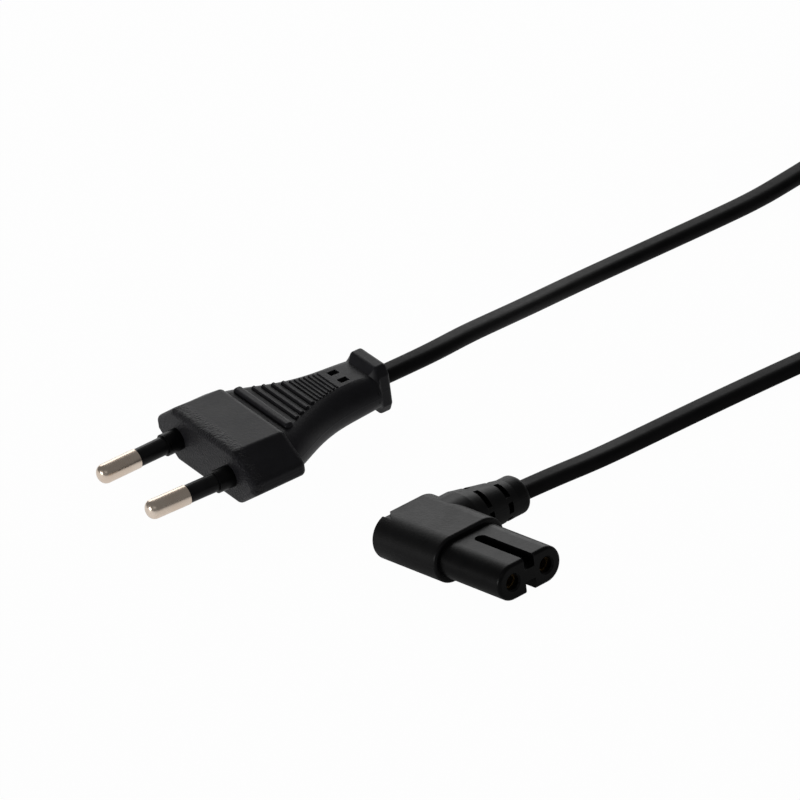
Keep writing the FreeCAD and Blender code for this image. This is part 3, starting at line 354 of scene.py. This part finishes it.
def make_wear_group():
    """Mask of edges rubbed by handling, broken up by noise."""
    group, given, made = new_group("edge_wear", [("Radius", "Float")], [("Mask", "Float")])
    nodes, links = group.nodes, group.links
    bevel = nodes.new("ShaderNodeBevel")
    bevel.samples = 4
    links.new(given.outputs["Radius"], bevel.inputs["Radius"])
    geometry = nodes.new("ShaderNodeNewGeometry")
    facing = nodes.new("ShaderNodeVectorMath")
    facing.operation = "DOT_PRODUCT"
    links.new(bevel.outputs["Normal"], facing.inputs[0])
    links.new(geometry.outputs["Normal"], facing.inputs[1])
    bent = ranged(nodes, 0.995, 0.85)
    links.new(facing.outputs["Value"], bent.inputs["Value"])
    place = nodes.new("ShaderNodeTexCoord").outputs["Object"]
    patches = ranged(nodes, 0.38, 0.62)
    links.new(noise(nodes, links, place, 420, 3), patches.inputs["Value"])
    links.new(combined(nodes, links, "MULTIPLY", bent.outputs["Result"],
                       patches.outputs["Result"]), made.inputs["Mask"])
    return group


def make_seam_group():
    """Mask of the fine line where the halves of the mould meet, at the middle height."""
    group, given, made = new_group("parting_line", [("Place", "Vector")],
                                   [("Height", "Float")])
    nodes, links = group.nodes, group.links
    parts = nodes.new("ShaderNodeSeparateXYZ")
    links.new(given.outputs["Place"], parts.inputs[0])
    line = ranged(nodes, 0.05 * MM, 0.16 * MM, 1.0, 0.0, smooth=True)
    links.new(combined(nodes, links, "ABSOLUTE", parts.outputs["Z"], 0.0),
              line.inputs["Value"])
    links.new(line.outputs["Result"], made.inputs["Height"])
    return group


GRAIN, WEAR, SEAM = make_grain_group(), make_wear_group(), make_seam_group()


def add_bump(material, shader, height, depth):
    """Raise the surface by a height, on top of any bump that is there already."""
    nodes, links = material.node_tree.nodes, material.node_tree.links
    bump = nodes.new("ShaderNodeBump")
    bump.inputs["Strength"].default_value = 1
    bump.inputs["Distance"].default_value = depth
    links.new(height, bump.inputs["Height"])
    if shader.inputs["Normal"].is_linked:
        links.new(shader.inputs["Normal"].links[0].from_socket, bump.inputs["Normal"])
    links.new(bump.outputs["Normal"], shader.inputs["Normal"])


def add_grain(material, shader, dark, light, smooth, rough, grain_scale, mottle_scale, depth):
    """Give a finish its colour variation, gloss variation and fine grain."""
    nodes, links = material.node_tree.nodes, material.node_tree.links
    grain = nodes.new("ShaderNodeGroup")
    grain.node_tree = GRAIN
    grain.inputs["Grain Scale"].default_value = grain_scale
    grain.inputs["Mottle Scale"].default_value = mottle_scale
    grain.inputs["Dark"].default_value = (*dark, 1)
    grain.inputs["Light"].default_value = (*light, 1)
    grain.inputs["Smooth"].default_value = smooth
    grain.inputs["Rough"].default_value = rough
    add_bump(material, shader, grain.outputs["Height"], depth)
    links.new(grain.outputs["Color"], shader.inputs["Base Color"])
    links.new(grain.outputs["Roughness"], shader.inputs["Roughness"])


def add_wear(material, shader, radius, colour, gloss):
    """Lighten and polish the edges a little."""
    nodes, links = material.node_tree.nodes, material.node_tree.links
    wear = nodes.new("ShaderNodeGroup")
    wear.node_tree = WEAR
    wear.inputs["Radius"].default_value = radius
    tint = nodes.new("ShaderNodeMix")
    tint.data_type = "RGBA"
    links.new(wear.outputs["Mask"], tint.inputs["Factor"])
    links.new(shader.inputs["Base Color"].links[0].from_socket, tint.inputs["A"])
    tint.inputs["B"].default_value = (*colour, 1)
    links.new(tint.outputs["Result"], shader.inputs["Base Color"])
    polish = nodes.new("ShaderNodeMix")
    links.new(wear.outputs["Mask"], polish.inputs["Factor"])
    links.new(shader.inputs["Roughness"].links[0].from_socket, polish.inputs["A"])
    polish.inputs["B"].default_value = gloss
    links.new(polish.outputs["Result"], shader.inputs["Roughness"])


def add_seam(material, shader, origin, turn):
    """Raise the parting line at the middle height of a moulding; gives its own coordinates."""
    nodes, links = material.node_tree.nodes, material.node_tree.links
    place = nodes.new("ShaderNodeTexCoord").outputs["Object"]
    local = nodes.new("ShaderNodeMapping")
    local.vector_type = "TEXTURE"
    local.inputs["Location"].default_value = origin
    local.inputs["Rotation"].default_value = turn
    links.new(place, local.inputs["Vector"])
    seam = nodes.new("ShaderNodeGroup")
    seam.node_tree = SEAM
    links.new(local.outputs["Vector"], seam.inputs["Place"])
    add_bump(material, shader, seam.outputs["Height"], SEAM_HEIGHT)
    return local.outputs["Vector"]


def connector_material(name):
    """Soft black moulding, satin, with a fine even grain."""
    material, shader = new_material(name, (0.005, 0.005, 0.005), 0.45, 0.17)
    add_grain(material, shader, (0.003, 0.003, 0.0032), (0.006, 0.006, 0.0064),
              0.36, 0.46, 3800, 260, 0.02 * MM)
    add_wear(material, shader, 0.3 * MM, (0.03, 0.03, 0.032), 0.3)
    add_seam(material, shader, CONNECTOR_MIDDLE, (0, 0, 0))
    return material


def plug_material(name):
    """The same moulding, with a spark texture on the plug's face and front edge."""
    material, shader = new_material(name, (0.009, 0.009, 0.01), 0.45, 0.18)
    add_grain(material, shader, (0.011, 0.0105, 0.0128), (0.018, 0.0178, 0.0215),
              0.38, 0.48, 3800, 230, 0.02 * MM)
    add_wear(material, shader, 0.3 * MM, (0.03, 0.03, 0.032), 0.32)
    local = add_seam(material, shader, PLUG_FACE, PLUG_TURN)
    nodes, links = material.node_tree.nodes, material.node_tree.links
    parts = nodes.new("ShaderNodeSeparateXYZ")
    links.new(local, parts.inputs[0])
    near_face = ranged(nodes, 1.2 * MM, 4.2 * MM, 1.0, 0.0, smooth=True)
    links.new(parts.outputs["X"], near_face.inputs["Value"])
    sparks = ranged(nodes, 0.35, 0.65)
    links.new(noise(nodes, links, local, 2400, 2), sparks.inputs["Value"])
    add_bump(material, shader, combined(nodes, links, "MULTIPLY", sparks.outputs["Result"],
                                        near_face.outputs["Result"]), 0.14 * MM)
    return material


def hard_material(name, dark, light):
    """Harder, glossier black of the nose, the pin bridge and the sleeves."""
    material, shader = new_material(name, (0.004, 0.004, 0.004), 0.35, 0.13)
    add_grain(material, shader, dark, light,
              0.28, 0.38, 3000, 300, 0.012 * MM)
    add_wear(material, shader, 0.25 * MM, (0.025, 0.025, 0.027), 0.25)
    return material


def cord_material(name):
    """Smooth sheath of the cord, satin, with a faint mottling."""
    material, shader = new_material(name, (0.005, 0.005, 0.005), 0.4, 0.05)
    add_grain(material, shader, (0.007, 0.0067, 0.007), (0.012, 0.0116, 0.012),
              0.36, 0.5, 2600, 120, 0.01 * MM)
    return material


def tie_material(name):
    """Plastic of the tie, a little greyer than the lead."""
    material, shader = new_material(name, (0.02, 0.02, 0.02), 0.5)
    add_grain(material, shader, (0.014, 0.014, 0.015), (0.03, 0.03, 0.032),
              0.4, 0.55, 2400, 400, 0.02 * MM)
    return material


def metal_material(name, dark, light, smooth, rough):
    """Metal with a little unevenness in its colour and gloss."""
    material, shader = new_material(name, light, rough)
    set_input(shader, "Metallic", 1.0)
    add_grain(material, shader, dark, light, smooth, rough, 1500, 160, 0.0004 * MM)
    return material


def core_material(name, dark, light):
    """Insulation of one core in its own colour."""
    material, shader = new_material(name, light, 0.45)
    add_grain(material, shader, dark, light, 0.4, 0.5, 2600, 90, 0.01 * MM)
    return material


def dress(material, *nodes):
    """Give CAD nodes a finish in place of the plain one they came with."""
    for name in nodes:
        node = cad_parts[name]
        for slot in node.material_slots:
            slot.material = material
        if not node.material_slots:
            node.data.materials.append(material)


def dress_all():
    """Every CAD node that stays gets its finish."""
    dress(connector_material("soft_black"), "connector_body")
    dress(plug_material("soft_black_plug"), "plug_body")
    dress(hard_material("hard_black", (0.002, 0.002, 0.0022), (0.0045, 0.0045, 0.0048)),
          "nose_insert", "pin_bridge")
    dress(hard_material("sleeve_black", (0.008, 0.008, 0.0085), (0.014, 0.014, 0.015)),
          "sleeve_blue", "sleeve_brown")
    dress(metal_material("nickel", (0.8, 0.66, 0.54), (0.92, 0.8, 0.69), 0.24, 0.32),
          "pin_blue", "pin_brown")
    # Painted shade: the contacts' brass is darkened well below bare brass to stand for the
    # shade deep in the socket holes
    dress(metal_material("brass", (0.2, 0.13, 0.05), (0.3, 0.2, 0.08), 0.4, 0.55),
          "contact_blue", "contact_brown")
    dress(metal_material("copper", (0.6, 0.3, 0.18), (0.8, 0.45, 0.3), 0.3, 0.45),
          "blue_strands_connector", "brown_strands_connector",
          "blue_strands_plug", "brown_strands_plug")
    blue = core_material("core_blue", (0.03, 0.13, 0.42), (0.05, 0.2, 0.56))
    dress(blue, "blue_core_connector", "blue_core_plug")
    brown = core_material("core_brown", (0.16, 0.07, 0.03), (0.26, 0.12, 0.05))
    dress(brown, "brown_core_connector", "brown_core_plug")


def make_floor():
    """White floor that takes a soft shadow; its glow in mirror rays is painted dimmer towards
    the nose, a painted shade in what the parts reflect.
    """
    mesh = bpy.data.meshes.new("floor")
    build = bmesh.new()
    bmesh.ops.create_grid(build, x_segments=1, y_segments=1, size=FLOOR_HALF_WIDTH)
    build.to_mesh(mesh)
    build.free()
    floor = bpy.data.objects.new("floor", mesh)
    bpy.context.scene.collection.objects.link(floor)
    material = bpy.data.materials.new("floor_white")
    material.use_nodes = True
    nodes, links = material.node_tree.nodes, material.node_tree.links
    nodes.clear()
    lit = nodes.new("ShaderNodeBsdfDiffuse")
    lit.inputs["Color"].default_value = (0.86, 0.86, 0.86, 1)
    glow = nodes.new("ShaderNodeEmission")
    glow.inputs["Color"].default_value = (1, 1, 1, 1)
    path = nodes.new("ShaderNodeLightPath")
    parts = nodes.new("ShaderNodeSeparateXYZ")
    links.new(nodes.new("ShaderNodeTexCoord").outputs["Object"], parts.inputs[0])
    # Painted shade: the floor's glow seen in mirror rays falls along X towards the nose
    shade = ranged(nodes, *MIRROR_PAINTED_SHADE_SPAN, MIRROR_BRIGHT, MIRROR_PAINTED_SHADE, smooth=True)
    links.new(parts.outputs["X"], shade.inputs["Value"])
    mirrored = combined(nodes, links, "MULTIPLY", path.outputs["Is Glossy Ray"],
                        shade.outputs["Result"])
    seen = combined(nodes, links, "MAXIMUM", path.outputs["Is Camera Ray"], mirrored)
    blend = nodes.new("ShaderNodeMixShader")
    out = nodes.new("ShaderNodeOutputMaterial")
    links.new(combined(nodes, links, "MULTIPLY", seen, FLOOR_WHITE), blend.inputs["Fac"])
    links.new(lit.outputs[0], blend.inputs[1])
    links.new(glow.outputs[0], blend.inputs[2])
    links.new(blend.outputs[0], out.inputs["Surface"])
    mesh.materials.append(material)


def make_world():
    """White to the camera, and a dim even fill for the object's own light."""
    world = bpy.data.worlds.new("studio")
    bpy.context.scene.world = world
    world.use_nodes = True
    nodes, links = world.node_tree.nodes, world.node_tree.links
    nodes.clear()
    seen = nodes.new("ShaderNodeBackground")
    seen.inputs["Color"].default_value = (1, 1, 1, 1)
    seen.inputs["Strength"].default_value = 1
    fill = nodes.new("ShaderNodeBackground")
    fill.inputs["Color"].default_value = (1, 1, 1, 1)
    fill.inputs["Strength"].default_value = WORLD_FILL
    path = nodes.new("ShaderNodeLightPath")
    blend = nodes.new("ShaderNodeMixShader")
    out = nodes.new("ShaderNodeOutputWorld")
    links.new(path.outputs["Is Camera Ray"], blend.inputs["Fac"])
    links.new(fill.outputs[0], blend.inputs[1])
    links.new(seen.outputs[0], blend.inputs[2])
    links.new(blend.outputs[0], out.inputs["Surface"])


def make_panel(name, place, wide, high, radiance):
    """Soft panel of an even brightness at a place, turned to the middle of the studio."""
    lamp = bpy.data.lights.new(name, "AREA")
    lamp.shape = "RECTANGLE"
    lamp.size, lamp.size_y = wide, high
    lamp.energy = radiance * math.pi * wide * high
    holder = bpy.data.objects.new(name, lamp)
    place, aim = Vector(place), Vector(STUDIO_MIDDLE)
    holder.location = place
    holder.rotation_mode = "QUATERNION"
    holder.rotation_quaternion = (aim - place).to_track_quat("-Z", "Y")
    bpy.context.scene.collection.objects.link(holder)


def make_camera():
    """Long lens from the photograph's side, with its slight roll."""
    camera = bpy.data.cameras.new("camera")
    camera.lens = CAMERA_LENS
    camera.sensor_width = CAMERA_SENSOR
    camera.clip_start, camera.clip_end = 0.1, 20
    holder = bpy.data.objects.new("camera", camera)
    right = Vector(CAMERA_RIGHT).normalized()
    back = Vector(CAMERA_BACK).normalized()
    up = back.cross(right).normalized()
    turn = Matrix((right, up, back)).transposed().to_4x4()
    aim = Vector(CAMERA_AIM) * MM
    holder.matrix_world = Matrix.Translation(aim + back * CAMERA_DISTANCE) @ turn
    bpy.context.scene.collection.objects.link(holder)
    bpy.context.scene.camera = holder


def main():
    make_camera()
    make_floor()
    make_world()
    for panel in PANELS:
        make_panel(*panel)

    make_tie()
    cord = make_cord()
    cord.data.materials.append(cord_material("cord_black"))
    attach(cord, "root")
    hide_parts("cord_connector_side", "cord_plug_side", "cord_coil")

    dress_all()

    bpy.context.scene.view_settings.view_transform = "Standard"


main()
